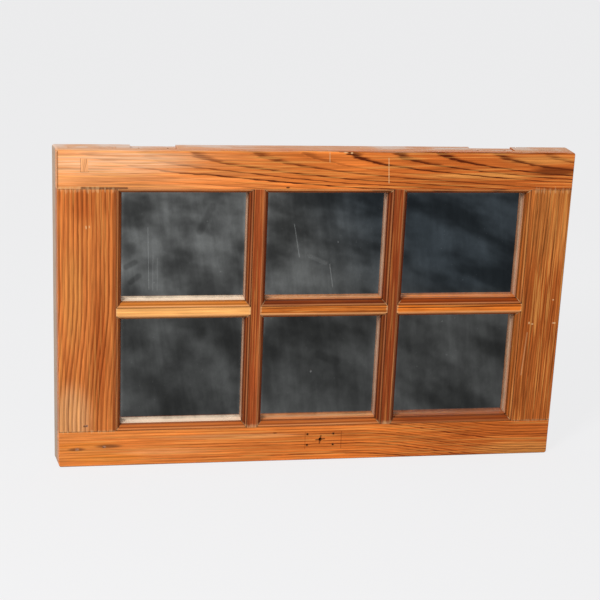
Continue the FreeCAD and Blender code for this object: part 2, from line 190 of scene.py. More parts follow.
class Surface:
    """One material: a Principled shader, and the coordinates and patterns that feed it."""

    def __init__(self, name, specular=0.5):
        self.material = bpy.data.materials.new(name)
        self.material.use_nodes = True
        self.tree = self.material.node_tree
        self.shader = self.tree.nodes["Principled BSDF"]
        self.shader.inputs["Specular IOR Level"].default_value = specular
        place = self.node("ShaderNodeTexCoord").outputs["Object"]
        self.x, self.y, self.z = self.split(place)
        self.normal = self.node("ShaderNodeNewGeometry").outputs["True Normal"]
        self.nx, self.ny, self.nz = self.split(self.normal)

    def node(self, kind, inputs=None, **settings):
        made = self.tree.nodes.new(kind)
        for key, value in settings.items():
            setattr(made, key, value)
        for key, value in (inputs or {}).items():
            feed(self.tree, made.inputs[key], value)
        return made

    def split(self, vector):
        node = self.node("ShaderNodeSeparateXYZ", {"Vector": vector})
        return [Field(self.tree, node.outputs[axis]) for axis in "XYZ"]

    def join(self, x, y, z):
        return self.node("ShaderNodeCombineXYZ", {"X": x, "Y": y, "Z": z}).outputs["Vector"]

    def noise(self, x, y, z, detail=2.0, roughness=0.5):
        """Cloudy noise, from 0 to 1, with blotches about one unit wide."""
        inputs = {"Vector": self.join(x, y, z), "Scale": 1.0, "Detail": detail, "Roughness": roughness}
        return Field(self.tree, self.node("ShaderNodeTexNoise", inputs).outputs["Fac"])

    def grained(self, along, across, size, seed=0.0, detail=2.0, roughness=0.5):
        """Noise drawn out along the fibres: the size is the length and width of its blotches."""
        length, width = size
        return self.noise(along / length + seed, across / width, self.y / width, detail, roughness)

    def chance(self, number):
        """A random share for each whole number."""
        node = self.node("ShaderNodeTexWhiteNoise", {"W": number}, noise_dimensions="1D")
        return Field(self.tree, node.outputs["Value"])

    def cells(self, x, y, z, feature="DISTANCE_TO_EDGE"):
        """The distance to the nearest edge or middle of cells about one unit wide."""
        inputs = {"Vector": self.join(x, y, z), "Scale": 1.0}
        node = self.node("ShaderNodeTexVoronoi", inputs, feature=feature)
        return Field(self.tree, node.outputs["Distance"])

    def mix(self, share, first, second):
        node = self.node("ShaderNodeMix", data_type="RGBA")
        colours = [socket for socket in node.inputs if socket.type == "RGBA"]
        feed(self.tree, node.inputs["Factor"], share)
        feed(self.tree, colours[0], first)
        feed(self.tree, colours[1], second)
        return next(socket for socket in node.outputs if socket.type == "RGBA")

    def shade(self, colour, share):
        """A colour made darker or lighter by a share."""
        node = self.node("ShaderNodeVectorMath", operation="SCALE")
        feed(self.tree, node.inputs[0], colour[:3] if isinstance(colour, tuple) else colour)
        feed(self.tree, node.inputs["Scale"], share)
        return node.outputs["Vector"]

    def corners(self, radius, samples=4):
        """How much an edge within this radius turns the surface: nought on flats."""
        rounded = self.node("ShaderNodeBevel", {"Radius": radius}, samples=samples)
        dot = self.node("ShaderNodeVectorMath", operation="DOT_PRODUCT")
        feed(self.tree, dot.inputs[0], rounded.outputs["Normal"])
        feed(self.tree, dot.inputs[1], self.normal)
        return Field(self.tree, dot.outputs["Value"]).fall(0.75, 0.985)

    def openness(self, reach, samples=4):
        """One on open faces, less in corners that lie deeper than this reach."""
        node = self.node("ShaderNodeAmbientOcclusion", {"Distance": reach}, samples=samples)
        return Field(self.tree, node.outputs["AO"])

    def finish(self, colour, roughness, height=None, depth=0.0, metallic=None, rounded=None):
        """Feeds the shader and gives the finished material."""
        feed(self.tree, self.shader.inputs["Base Color"], colour)
        feed(self.tree, self.shader.inputs["Roughness"], roughness)
        if metallic is not None:
            feed(self.tree, self.shader.inputs["Metallic"], metallic)
        if height is not None:
            bump = self.node("ShaderNodeBump", {"Height": height, "Distance": depth, "Strength": 1.0})
            if rounded is not None:
                edges = self.node("ShaderNodeBevel", {"Radius": rounded}, samples=8)
                feed(self.tree, bump.inputs["Normal"], edges.outputs["Normal"])
            feed(self.tree, self.shader.inputs["Normal"], bump.outputs["Normal"])
        return self.material


# Marks on the front face or the mirror


@dataclass
class Spot:
    """A soft oval mark on the front: its centre and half sizes along X and Z."""
    centre: tuple
    radius: tuple
    colour: tuple
    strength: float = 1.0

    def mask(self, s):
        across = (s.x - self.centre[0]) / self.radius[0]
        up = (s.z - self.centre[1]) / self.radius[1]
        return (across * across + up * up).root().fall(0.35, 1.0) * self.strength

    def middle(self):
        return self.centre


@dataclass
class Stroke:
    """A thin mark on the front from one place to another."""
    start: tuple
    end: tuple
    width: float
    colour: tuple
    strength: float = 1.0

    def mask(self, s):
        run = (self.end[0] - self.start[0], self.end[1] - self.start[1])
        length = math.hypot(*run)
        unit = (run[0] / length, run[1] / length)
        dx = s.x - self.start[0]
        dz = s.z - self.start[1]
        along = (dx * unit[0] + dz * unit[1]).most(0.0).least(length)
        off_x = dx - along * unit[0]
        off_z = dz - along * unit[1]
        distance = (off_x * off_x + off_z * off_z).root()
        return distance.fall(0.3 * self.width, self.width) * self.strength

    def middle(self):
        return ((self.start[0] + self.end[0]) / 2, (self.start[1] + self.end[1]) / 2)


# Wood


@dataclass
class Grain:
    """How one member was cut from the log, and how it has aged."""
    along: str  # axis of the fibres
    pith: tuple  # the tree's middle: its place across the member, and its depth
    spacing: float  # between growth rings
    lean: float = 0.0  # how fast the pith comes nearer along the member
    slowed: tuple = (1.0, 1.0)  # from what reach on the rings are narrower, and how much denser
    sweep: tuple = (0.0, 1.0, 0.0)  # from where to where the fibres drift across, and by how much
    wash: tuple = (0.0, 1.0, 0.0)  # from where to where a pale wash dies away, and its strength
    washed: tuple = PALE_WOOD_AND_HIGHLIGHT  # its colour
    wander: float = 0.002  # waver of the fibres
    ragged: float = 0.25  # fringe of the rings
    soft: float = 0.35  # share of a ring that is early wood
    contrast: float = 1.0
    steady: float = 0.0  # how alike the rings are
    early: tuple = EARLY_WOOD
    late: tuple = LATE_WOOD_AND_SHADE
    aged: float = 0.35  # share of darker varnish blotches
    moulding: float = 0.5  # share of old varnish left on the mouldings
    varnish: tuple = AGED_VARNISH  # its colour
    reddened: tuple = (0.0, 1.0, 0.0)  # from where to where the mouldings redden, and by what share
    crest: float = 0.5  # share of painted highlight along their lit crests
    arris: float = 0.3  # share of painted highlight along the edges of their shaded sides
    chipped: float = 0.0  # share of pale chips at the ends
    washes: tuple = ()  # patches that lie under the dark rings
    veils: tuple = ()  # patches that lie over them
    marks: tuple = ()  # marks that lie over the threads too
    threads: float = 0.3  # share of pale and dark threads
    seed: float = 0.0


# Patterns of the wood: how long they are along the fibres, and how wide across them
WAVER = (0.13, 0.05)
FRINGE = (0.022, 0.0022)
FIBRE = (0.040, 0.0013)
STREAK = (0.11, 0.0024)
FINE_LINE = (0.22, 0.0017)
THREAD = (0.10, 0.0021)
CHIP = (0.040, 0.006)
CLOUD_LENGTH = 0.07
CLOUD_WIDTH = 0.022
CLOUD_DEPTH = 0.03
GRAIN_RELIEF = 0.00025


def growth_rings(s, grain, along, across):
    """The share of dark late wood, which deepens outwards through a ring, and a tint for each ring."""
    seed = grain.seed
    waver = s.grained(along, across, WAVER, seed) - 0.5
    ragged = s.noise(along / FRINGE[0], across / FRINGE[1] + seed, s.y / FRINGE[1]) - 0.5
    start, end, amount = grain.sweep
    shifted = across + waver * (2 * grain.wander) + along.rise(start, end) * amount
    sideways = shifted - grain.pith[0]
    inward = s.y - grain.pith[1] + along * grain.lean
    reach = (sideways * sideways + inward * inward).root()
    slow_from, denser = grain.slowed
    reach = reach + (reach - slow_from).most(0.0) * (denser - 1.0)
    uneven = s.noise(reach / (4 * grain.spacing), seed, seed) - 0.5
    varied = 1.0 - grain.steady
    count = reach / grain.spacing + uneven * (1.6 * varied) + ragged * grain.ragged
    phase = count.part()
    weight = (s.chance(count.whole() + seed) - 0.5) * (0.8 * varied) + 0.6
    tint = (s.chance(count.whole() + seed + 0.5) - 0.5) * varied + 0.5
    return phase.rise(grain.soft, 0.86) * phase.fall(0.91, 1.0) * weight, tint


def within_lights(s):
    """One between the outermost flat faces, seen from the front."""
    soft = 0.0003
    return s.x.band(LEFT_FLAT, RIGHT_FLAT, soft) * s.z.band(SHOULDER_LOW, SHOULDER_HIGH, soft)


# Bands of the moulding: from and to, measured in from the flat face, and the softness of their edges
QUIRK = (-0.0004, 0.0006, 0.0006)
CREST = (0.0010, 0.0018, 0.0008)
LIT_CURVE = (0.0012, 0.0066, 0.0008)
LIT_SIDE = (0.0012, 0.0070, 0.0008)
UPPER_LIP = (0.0030, 0.0037, 0.0006)
LOWER_LIP = (0.0058, 0.0066, 0.0004)
ARRIS = (-0.0010, 0.0018, 0.0008)
SHADED_CURVE = (0.0024, 0.0066, 0.0012)
MITRE = (0.0004, 0.0064, 0.0004)


def moulding_steps(s, node, grain):
    """How far a place is in from the lit and from the shaded sides of the lights beside a member."""
    lowest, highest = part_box(node)
    if grain.along == "x":
        beside = [[edge for edge in edges if lowest.z < edge < highest.z] for edges in zip(*ROWS)]
        return [s.z - low for low in beside[0]], [high - s.z for high in beside[1]]
    beside = [[edge for edge in edges if lowest.x < edge < highest.x] for edges in zip(*COLUMNS)]
    return [high - s.x for high in beside[1]], [s.x - low for low in beside[0]]


def moulded(s, node, grain, colour, cloud, streak):
    """Old varnish left in the mouldings, painted shade in their quirks, along their lips and on their
    shaded sides, and painted highlight along their lit crests and shaded arrises.
    """
    lights = within_lights(s)
    face = lights * s.y.fall(SIGHT_EDGE - 0.0004, SIGHT_EDGE + 0.0002)
    deep = lights * s.y.fall(GLASS_FRONT, GLASS_FRONT + 0.001)
    lit, shaded = moulding_steps(s, node, grain)
    uneven = cloud * 0.4 + streak * 0.8 + 0.4
    # Patchiness of the painted highlights along the crests and arrises
    wear_and_highlight = (streak * 2.4 - 0.5).most(0.0).least(1.0)
    start, end, redness = grain.reddened
    red = s.x.rise(start, end) * redness
    for step in lit:
        curve = step.band(*LIT_CURVE) * face
        colour = s.mix((curve * uneven * grain.moulding).least(0.95), colour, grain.varnish)
        # Painted highlight: a pale line along the crest of the moulding on the lit side
        crest = step.band(*CREST) * face
        colour = s.mix(crest * wear_and_highlight * grain.crest, colour, PALE_WOOD_AND_HIGHLIGHT)
        colour = s.mix(step.band(*LIT_SIDE) * deep * red, colour, AGED_VARNISH)
        # Painted shade: dark lines in the quirk and along the lips of the moulding on the lit side
        lips = step.band(*UPPER_LIP).most(step.band(*LOWER_LIP)) * uneven
        lines = step.band(*QUIRK).most(lips) * face
        colour = s.mix(lines * 0.6, colour, s.shade(grain.varnish, 0.35))
    for step in shaded:
        # Painted shade: the curve of the moulding on the shaded side is darkened
        curve = step.band(*SHADED_CURVE) * deep
        colour = s.mix((curve * uneven * 0.75).least(0.95), colour, LATE_WOOD_AND_SHADE)
        # Painted highlight: a pale line along the arris of the shaded side
        arris = step.band(*ARRIS) * deep
        colour = s.mix(arris * wear_and_highlight * grain.arris, colour, PALE_WOOD_AND_HIGHLIGHT)
    return colour


def mitres(s):
    """The thin joints where the mouldings of a light meet at its corners."""
    inset_x, inset_z = [
        functools.reduce(Field.most, [(place - low).least(high - place) for low, high in spans])
        for place, spans in ((s.x, COLUMNS), (s.z, ROWS))
    ]
    return (inset_x - inset_z).size().fall(0.0003, 0.0010) * inset_x.band(*MITRE)


def chipped_ends(s, grain, chips):
    """Pale chips where the ends of a bar meet its neighbours."""
    if grain.along == "x":
        near = [(s.x - low).least(high - s.x).band(-0.002, 0.0004, 0.0045) for low, high in COLUMNS]
        at_end = functools.reduce(Field.most, near)
    else:
        at_end = (s.z - SHOULDER_LOW).band(-0.002, 0.0010, 0.0120)
    return (at_end * 0.5 + chips - 0.5).rise(0.34, 0.60) * at_end


def end_joints(s, node):
    """The thin joints where the ends of the uprights and the crossbars meet their neighbours."""
    place, edges = s.z, (SHOULDER_LOW, SHOULDER_HIGH)
    if node.endswith("crossbar"):
        low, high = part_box(node)
        place, edges = s.x, [edge for span in COLUMNS for edge in span if low.x < edge < high.x]
    return functools.reduce(Field.least, [(place - edge).size() for edge in edges]).fall(0.0002, 0.0010)


def shoulders(s, colour, joint, front):
    """Dark joints along the shoulders of the stiles, and the ragged ends of their fibres."""
    over_left = s.x.fall(LEFT_FLAT - 0.002, LEFT_FLAT)
    over_right = s.x.rise(RIGHT_FLAT, RIGHT_FLAT + 0.002)
    over_stiles = over_left.most(over_right) * front
    colour = s.mix(joint * over_stiles * 0.65, colour, GRIME_AND_SHADE)
    tufts = s.noise(s.x / 0.0030, 0.0, s.z / 0.03, detail=4.0, roughness=0.75)
    reach = tufts.rise(0.30, 0.72) * 0.0075
    high = (reach - (s.z - SHOULDER_HIGH + 0.001).size()).rise(0.0, 0.0030)
    low = (reach * 0.5 - (s.z - SHOULDER_LOW).size()).rise(0.0, 0.0016)
    return s.mix(high.most(low) * tufts.rise(0.40, 0.62) * over_stiles * 0.35, colour, BARE_FIBRE)


def weathered_edges(s, colour, chips, cloud):
    """Old paint on the left edge and the back, and a pale wash, rubbed through in patches, along the top
    edge.
    """
    left = s.nx.fall(-0.7, -0.5) * s.x.fall(LEFT_END + 0.008, LEFT_END + 0.010)
    left = left * (s.y.rise(FRONT + 0.002, FRONT + 0.022) * 0.8 + 0.15)
    back = s.ny.rise(0.5, 0.7) * s.y.rise(GLASS_BACK, GLASS_BACK + 0.001) * 0.68
    colour = s.mix(back, colour, s.shade(GREYED_WOOD, cloud * 0.6 + 0.7))
    paint = left.most(back)
    paint = (paint - chips * 0.9 + 0.45).rise(0.40, 0.66) * paint.rise(0.1, 0.3)
    colour = s.mix(paint, colour, s.shade(OLD_PAINT, cloud * 0.5 + 0.75))
    top = s.nz.rise(0.5, 0.7) * s.z.rise(TOP - 0.008, TOP - 0.004)
    near_left = s.x.fall(LEFT_END + 0.06, LEFT_END + 0.14)
    near_ends = near_left.most(s.x.rise(RIGHT_END - 0.10, RIGHT_END - 0.05))
    patchy = (cloud - 0.5) * 1.3 + (chips - 0.5) * 1.6
    wash = top * (s.y.rise(FRONT - 0.004, FRONT + 0.020) * 0.62 + near_ends * 0.2 + 0.05 + patchy)
    wash = wash.most(0.0).least(0.95)
    colour = s.mix(wash, colour, WASHED_PAINT)
    flakes = top * cloud.rise(0.48, 0.60) * s.y.rise(FRONT + 0.008, FRONT + 0.024)
    colour = s.mix(flakes * 0.6, colour, PAINT_FLAKES)
    return colour, paint.most(wash)


def corner_shade_ledge_dust_and_highlight(s, colour, open_face, streak, cloud):
    """Painted shade in the corners, and dust with painted highlight on the faces between the moulding and
    the mirror that face up and to the left, strongest at the left.
    """
    sight = s.y.band(SIGHT_EDGE, GLASS_FRONT, 0.0005) * within_lights(s)
    by_glass = s.y.rise(GLASS_FRONT - 0.007, GLASS_FRONT)
    # Painted highlight on the upward ledges, strongest at the left; dust near the mirror elsewhere
    bright = s.x.fall(-0.10, -0.06)
    thin = (by_glass * 0.35 + streak * 0.25) * (1.0 - s.x.rise(0.09, 0.13) * 0.7)
    dust_and_highlight = bright * (streak * 0.5 + 0.62) + (1.0 - bright) * thin
    upward = sight * s.nz.rise(0.3, 0.8)
    ledge = upward * dust_and_highlight.least(0.95)
    # Dust with painted highlight on the left-facing flanks
    flank = sight * s.nx.fall(-0.8, -0.3) * (by_glass * 0.35 + cloud * 0.4 + 0.25)
    # Painted shade: darker in corners and recesses, less on the upward ledges
    colour = s.mix(open_face.fall(0.25, 0.85) * 0.7 * (1.0 - upward * 0.8), colour, GRIME_AND_SHADE)
    colour = s.mix(flank, colour, FLANK_DUST_AND_HIGHLIGHT)
    # Dust with painted highlight on the upward ledges
    colour = s.mix(ledge, colour, s.mix(bright, WARM_DUST, LEDGE_DUST_AND_HIGHLIGHT))
    return colour, ledge + flank


def wood(node, grain):
    """One member's finish: its grain, then its varnish and joints with painted shade and highlight, then
    dust, wear and old paint.
    """
    s = Surface(node, specular=0.10)
    along, across = (s.x, s.z) if grain.along == "x" else (s.z, s.x)
    late, tint = growth_rings(s, grain, along, across)
    fibre = s.grained(along, across, FIBRE)
    streak = s.grained(along, across, STREAK, grain.seed, detail=4.0, roughness=0.65)
    place = (along / CLOUD_LENGTH + grain.seed, across / CLOUD_WIDTH, s.y / CLOUD_DEPTH)
    cloud = s.noise(*place, detail=3.0)
    colour = s.shade(grain.early, tint * 0.36 + 0.84)
    colour = s.mix(cloud.rise(0.42, 0.72) * grain.aged, colour, AGED_VARNISH)
    front = s.y.fall(FRONT + 0.0005, FRONT + 0.0020)
    ragged = (streak * 1.6 + 0.2).least(1.0) * front
    for mark in grain.washes:
        colour = s.mix(mark.mask(s) * ragged, colour, mark.colour)
    start, end, strength = grain.wash
    pale = along.fall(start, end) * strength
    fine = s.grained(along, across, FINE_LINE, grain.seed, detail=1.0)
    streaky = fine.rise(0.40, 0.58) * 0.6 + 0.4
    colour = s.mix(pale * streaky, colour, grain.washed)
    colour = s.mix(late * (1.0 - pale) * grain.contrast, colour, grain.late)
    for mark in grain.veils:
        colour = s.mix(mark.mask(s) * streaky * front, colour, mark.colour)
    thread = s.grained(along, across, THREAD, grain.seed, detail=3.0)
    colour = s.mix(thread.rise(0.54, 0.62) * grain.threads, colour, FLAME)
    colour = s.mix(thread.fall(0.38, 0.45) * (grain.threads * 0.4), colour, grain.late)
    for mark in grain.marks:
        colour = s.mix(mark.mask(s) * ragged, colour, mark.colour)
    colour = s.shade(colour, (fibre - 0.5) * 0.9 + (streak - 0.5) * 1.0 + 1.0)
    colour = moulded(s, node, grain, colour, cloud, streak)
    end_joint = end_joints(s, node)
    if node.endswith(("rail", "stile")):
        colour = shoulders(s, colour, end_joint, front)

    chips = s.grained(along, across, CHIP, detail=5.0, roughness=0.7)
    joint = mitres(s) * s.y.fall(SIGHT_EDGE, SIGHT_EDGE + 0.001)
    colour = s.mix(joint * 0.6, colour, GRIME_AND_SHADE)
    colour = s.mix(joint * chips.rise(0.48, 0.58) * 0.8, colour, BARE_FIBRE)
    if grain.chipped:
        colour = s.mix(chipped_ends(s, grain, chips) * grain.chipped, colour, BARE_FIBRE)
    open_face = s.openness(0.006)
    # Pale edges: wear to bare wood, and painted highlight along the arrises of open edges
    wear_and_highlight = s.corners(0.0012) * open_face.rise(0.55, 0.85) * cloud.rise(0.40, 0.62)
    colour = s.mix(wear_and_highlight * 0.4, colour, PALE_WOOD_AND_HIGHLIGHT)
    # Painted shade in corners, and dust with painted highlight on the upward and left-facing ledges, which
    # the dust mask carries
    colour, dust = corner_shade_ledge_dust_and_highlight(s, colour, open_face, streak, cloud)
    colour, matt = weathered_edges(s, colour, chips, cloud)
    on_back = s.ny.rise(0.5, 0.7) * s.y.rise(GLASS_BACK + 0.004, GLASS_BACK + 0.005)
    colour = s.mix(end_joint * on_back * (streak * 0.6 + 0.4), colour, GRIME_AND_SHADE)

    roughness = fibre * 0.15 + cloud * 0.15 + 0.22 + (wear_and_highlight + matt + dust) * 0.3
    height = fibre * 0.35 + late * 0.5 + matt * 0.4
    return s.finish(colour, roughness, height, GRAIN_RELIEF)


CATCH_X = (-0.0045, 0.0305)  # holes of the lost catch
CATCH_Z = (0.0216, 0.0371)
TOP_RAIL = Grain(
    along="x", pith=(0.419, 0.0625), lean=0.037, spacing=0.0024, wander=0.0025, aged=0.2, soft=0.6,
    early=srgb(236, 130, 56), ragged=0.35, wash=(-0.36, 0.0, 0.90), contrast=1.5, threads=0.5, arris=0.6,
    washes=(
        Spot((0.210, 0.3960), (0.210, 0.0600), RED_VARNISH, 0.55),
        Spot((0.285, 0.4090), (0.065, 0.0080), FLAME, 0.6),
        Spot((0.200, 0.3880), (0.110, 0.0050), FLAME, 0.7),
    ),
    veils=(
        Spot((-0.262, 0.4055), (0.130, 0.0240), PINK_WOOD, 0.85),
        Spot((-0.255, 0.3780), (0.110, 0.0140), WARM_WOOD, 0.7),
    ),
    marks=(
        Stroke((0.0200, 0.4186), (0.3300, 0.4186), 0.0014, LATE_WOOD_AND_SHADE, 0.6),
        Spot((0.304, 0.3945), (0.046, 0.0080), LATE_WOOD_AND_SHADE, 0.75),
        Stroke((0.0836, 0.411), (0.0856, 0.3787), 0.0008, BARE_FIBRE, 0.8),
        Stroke((0.0075, 0.417), (0.0080, 0.4055), 0.0008, BARE_FIBRE, 0.7),
        Spot((0.0279, 0.4177), (0.0040, 0.0010), BARE_FIBRE, 0.9),
        Spot((0.0356, 0.4171), (0.0020, 0.0016), BARE_FIBRE, 0.9),
        Spot((-0.044, 0.3725), (0.0035, 0.0016), GRIME_AND_SHADE, 0.9),
        Stroke((-0.3012, 0.4080), (-0.3012, 0.3920), 0.0009, AGED_VARNISH, 0.5),
        Stroke((-0.3012, 0.3917), (-0.2918, 0.3917), 0.0009, AGED_VARNISH, 0.5),
        Stroke((-0.3292, 0.3720), (-0.3292, 0.4170), 0.0014, LATE_WOOD_AND_SHADE, 0.6),
        Stroke((-0.3000, 0.3715), (-0.2450, 0.3712), 0.0022, NAIL_STAIN, 0.75),
    ),
)
BOTTOM_RAIL = Grain(
    along="x", pith=(0.20, 0.05), spacing=0.0034, sweep=(0.06, 0.29, 0.030), wander=0.0015, seed=3.0,
    early=srgb(240, 132, 54), late=srgb(122, 46, 12), contrast=1.2, aged=0.2, threads=0.5,
    ragged=0.5, soft=0.5,
    wash=(-0.34, 0.12, 0.75), washed=srgb(238, 148, 76), moulding=0.6,
    varnish=srgb(190, 96, 42), reddened=(0.09, 0.14, 0.7),
    washes=(
        Spot((0.260, 0.0300), (0.150, 0.0400), RED_VARNISH, 0.4),
        Spot((0.290, 0.0080), (0.085, 0.0140), FLAME, 0.7),
        Spot((-0.300, 0.0270), (0.060, 0.0120), HONEY, 0.6),
    ),
    veils=(
        Spot((-0.270, 0.0110), (0.070, 0.0100), HONEY, 0.6),
        Spot((-0.110, 0.0370), (0.120, 0.0060), PALE_WOOD_AND_HIGHLIGHT, 0.5),
        Spot((-0.190, 0.0180), (0.090, 0.0060), PALE_WOOD_AND_HIGHLIGHT, 0.4),
    ),
    marks=(
        Spot((-0.3075, 0.0243), (0.015, 0.0032), NAIL_STAIN, 0.65),
        Spot((-0.2660, 0.0278), (0.023, 0.0034), NAIL_STAIN, 0.75),
        Stroke((0.0075, 0.0286), (0.0185, 0.0300), 0.0016, GRIME_AND_SHADE, 0.7),
        Stroke((0.0122, 0.0240), (0.0138, 0.0346), 0.0016, GRIME_AND_SHADE, 0.7),
        Stroke((-0.0074, 0.0160), (-0.0074, 0.0400), 0.0009, AGED_VARNISH, 0.4),
        Stroke((0.0415, 0.0160), (0.0415, 0.0400), 0.0009, AGED_VARNISH, 0.5),
        Spot((-0.0482, 0.0400), (0.0040, 0.0012), GRIME_AND_SHADE, 0.8),
        *(Spot((x, z), (0.0028, 0.0028), GRIME_AND_SHADE, 0.55) for x in CATCH_X for z in CATCH_Z),
    ),
)
LEFT_STILE = Grain(
    along="z", pith=(-0.42, 0.04), spacing=0.0050, sweep=(0.24, 0.06, 0.014), seed=5.0, aged=0.25,
    early=srgb(218, 125, 60), moulding=0.75, contrast=0.95, steady=0.6, soft=0.2,
    washes=(
        Spot((-0.290, 0.3520), (0.050, 0.0300), RED_VARNISH, 0.5),
        Spot((-0.278, 0.1600), (0.014, 0.1100), RED_VARNISH, 0.6),
        Spot((-0.312, 0.2300), (0.016, 0.0900), FLAME, 0.4),
        Spot((-0.314, 0.0680), (0.034, 0.0600), PALE_WOOD_AND_HIGHLIGHT, 0.85),
    ),
    marks=(
        # Dark old varnish with painted shade along the inner edge of the left stile
        Stroke((-0.2585, 0.0500), (-0.2585, 0.3690), 0.0045, INNER_VARNISH_AND_SHADE, 0.65),
        Stroke((-0.2950, 0.3230), (-0.2948, 0.3200), 0.0009, BARE_FIBRE, 0.8),
        Stroke((-0.2910, 0.3232), (-0.2908, 0.3212), 0.0009, BARE_FIBRE, 0.7),
        Spot((-0.297, 0.0565), (0.0030, 0.0020), GRIME_AND_SHADE, 0.8),
    ),
)
RIGHT_STILE = Grain(
    along="z", pith=(0.12, 0.03), spacing=0.0036, slowed=(0.190, 1.2), sweep=(0.37, 0.05, 0.006), seed=7.0,
    soft=0.10, ragged=0.6, contrast=0.8, steady=0.4, early=srgb(206, 112, 48), late=srgb(76, 28, 6),
    aged=0.2, threads=0.6, moulding=0.35, varnish=srgb(160, 88, 34), crest=0.15,
    washes=(
        Spot((0.310, 0.3400), (0.050, 0.1000), FLAME, 0.25),
        Spot((0.304, 0.2100), (0.050, 0.0900), RED_VARNISH, 0.35),
    ),
    marks=(
        Stroke((0.2872, 0.175), (0.2840, 0.115), 0.0012, BARE_FIBRE, 0.35),
        Spot((0.3233, 0.1880), (0.0034, 0.0014), BARE_FIBRE, 0.9),
        Spot((0.3190, 0.2205), (0.0016, 0.0014), BARE_FIBRE, 0.9),
        Spot((0.2885, 0.1885), (0.0016, 0.0024), BARE_FIBRE, 0.9),
        Spot((0.2930, 0.1870), (0.0024, 0.0014), BARE_FIBRE, 0.9),
    ),
)
LEFT_MUNTIN_EARLY = srgb(168, 81, 38)
RIGHT_MUNTIN_EARLY = srgb(162, 75, 34)
MUNTIN_LATE = srgb(82, 28, 8)
LEFT_BAR_EARLY = srgb(250, 180, 104)
PEG_EARLY = srgb(240, 170, 114)
CROSSBAR_EARLY = srgb(240, 136, 54)
RIGHT_BAR_EARLY = srgb(248, 134, 46)


def muntin_grain(pith, spacing, early, seed):
    return Grain(
        "z", pith, spacing, early=early, late=MUNTIN_LATE, moulding=0.45, varnish=MUNTIN_LATE,
        crest=0.3, arris=0.25, contrast=0.6, chipped=0.5, threads=0.25, seed=seed
    )


MEMBERS = {
    "top_rail": TOP_RAIL,
    "bottom_rail": BOTTOM_RAIL,
    "left_stile": LEFT_STILE,
    "right_stile": RIGHT_STILE,
    "left_muntin": muntin_grain((-0.13, 0.02), 0.0030, LEFT_MUNTIN_EARLY, 11.0),
    "right_muntin": muntin_grain((0.06, 0.03), 0.0028, RIGHT_MUNTIN_EARLY, 13.0),
    "left_crossbar": Grain(
        "x", (0.26, 0.02), 0.0040, contrast=0.25, aged=0.05, early=LEFT_BAR_EARLY, moulding=0.95,
        varnish=srgb(218, 126, 46), crest=0.9, arris=0.6, chipped=0.7, seed=17.0
    ),
    "middle_crossbar": Grain(
        "x", (0.17, 0.03), 0.0036, early=CROSSBAR_EARLY, moulding=0.95, varnish=srgb(126, 50, 16),
        arris=0.9, contrast=1.0, threads=0.5, chipped=0.7, seed=19.0
    ),
    "right_crossbar": Grain(
        "x", (0.25, 0.01), 0.0032, early=RIGHT_BAR_EARLY, moulding=0.9, varnish=srgb(158, 64, 12),
        arris=0.9, contrast=1.0, threads=0.5, chipped=0.7, seed=23.0
    ),
    "tenon_peg": Grain(
        "z", (-0.32, 0.0), 0.0020, sweep=(0.39, 0.41, -0.003), early=PEG_EARLY, late=AGED_VARNISH,
        contrast=0.4, aged=0.1, threads=0.1, seed=29.0
    ),
    "tenon_wedges": Grain("z", (0.0, 0.3), 0.0020, seed=31.0),
}


# Mirror


# Scratches and dust, and strokes where a finger wiped the film away
GLASS_MARKS = (
    Stroke((-0.0302, 0.3195), (-0.0220, 0.2760), 0.0009, SILVER, 0.9),
    Stroke((0.0183, 0.2659), (0.0237, 0.2355), 0.0009, SILVER, 0.8),
    Stroke((-0.2173, 0.3158), (-0.2151, 0.2342), 0.0007, SILVER, 0.6),
    Stroke((-0.2105, 0.2792), (-0.2103, 0.2330), 0.0009, SILVER, 0.35),
    Stroke((-0.2047, 0.2755), (-0.2046, 0.2330), 0.0009, SILVER, 0.35),
    Stroke((-0.0086, 0.2772), (0.0129, 0.2677), 0.0040, SILVER, 0.35),
    Spot((-0.0001, 0.1183), (0.0020, 0.0020), SILVER, 1.2),
    Spot((0.0280, 0.2960), (0.0012, 0.0020), SILVER, 0.9),
    Stroke((-0.2445, 0.2640), (-0.2335, 0.2700), 0.0055, SILVER, -0.5),
    Stroke((-0.2385, 0.2440), (-0.2285, 0.2520), 0.0055, SILVER, -0.5),
    Stroke((-0.1516, 0.3104), (-0.1358, 0.3430), 0.0070, SILVER, -0.35),
    Stroke((-0.2239, 0.3494), (-0.1918, 0.2922), 0.0120, SILVER, -0.2),
    Stroke((0.0095, 0.1420), (0.0329, 0.1317), 0.0090, SILVER, -0.35),
)
HAZE = {
    "mirror_top_left": 1.0, "mirror_top_middle": 1.0, "mirror_top_right": 0.7,
    "mirror_bottom_left": 1.0, "mirror_bottom_middle": 0.9, "mirror_bottom_right": 0.9,
}


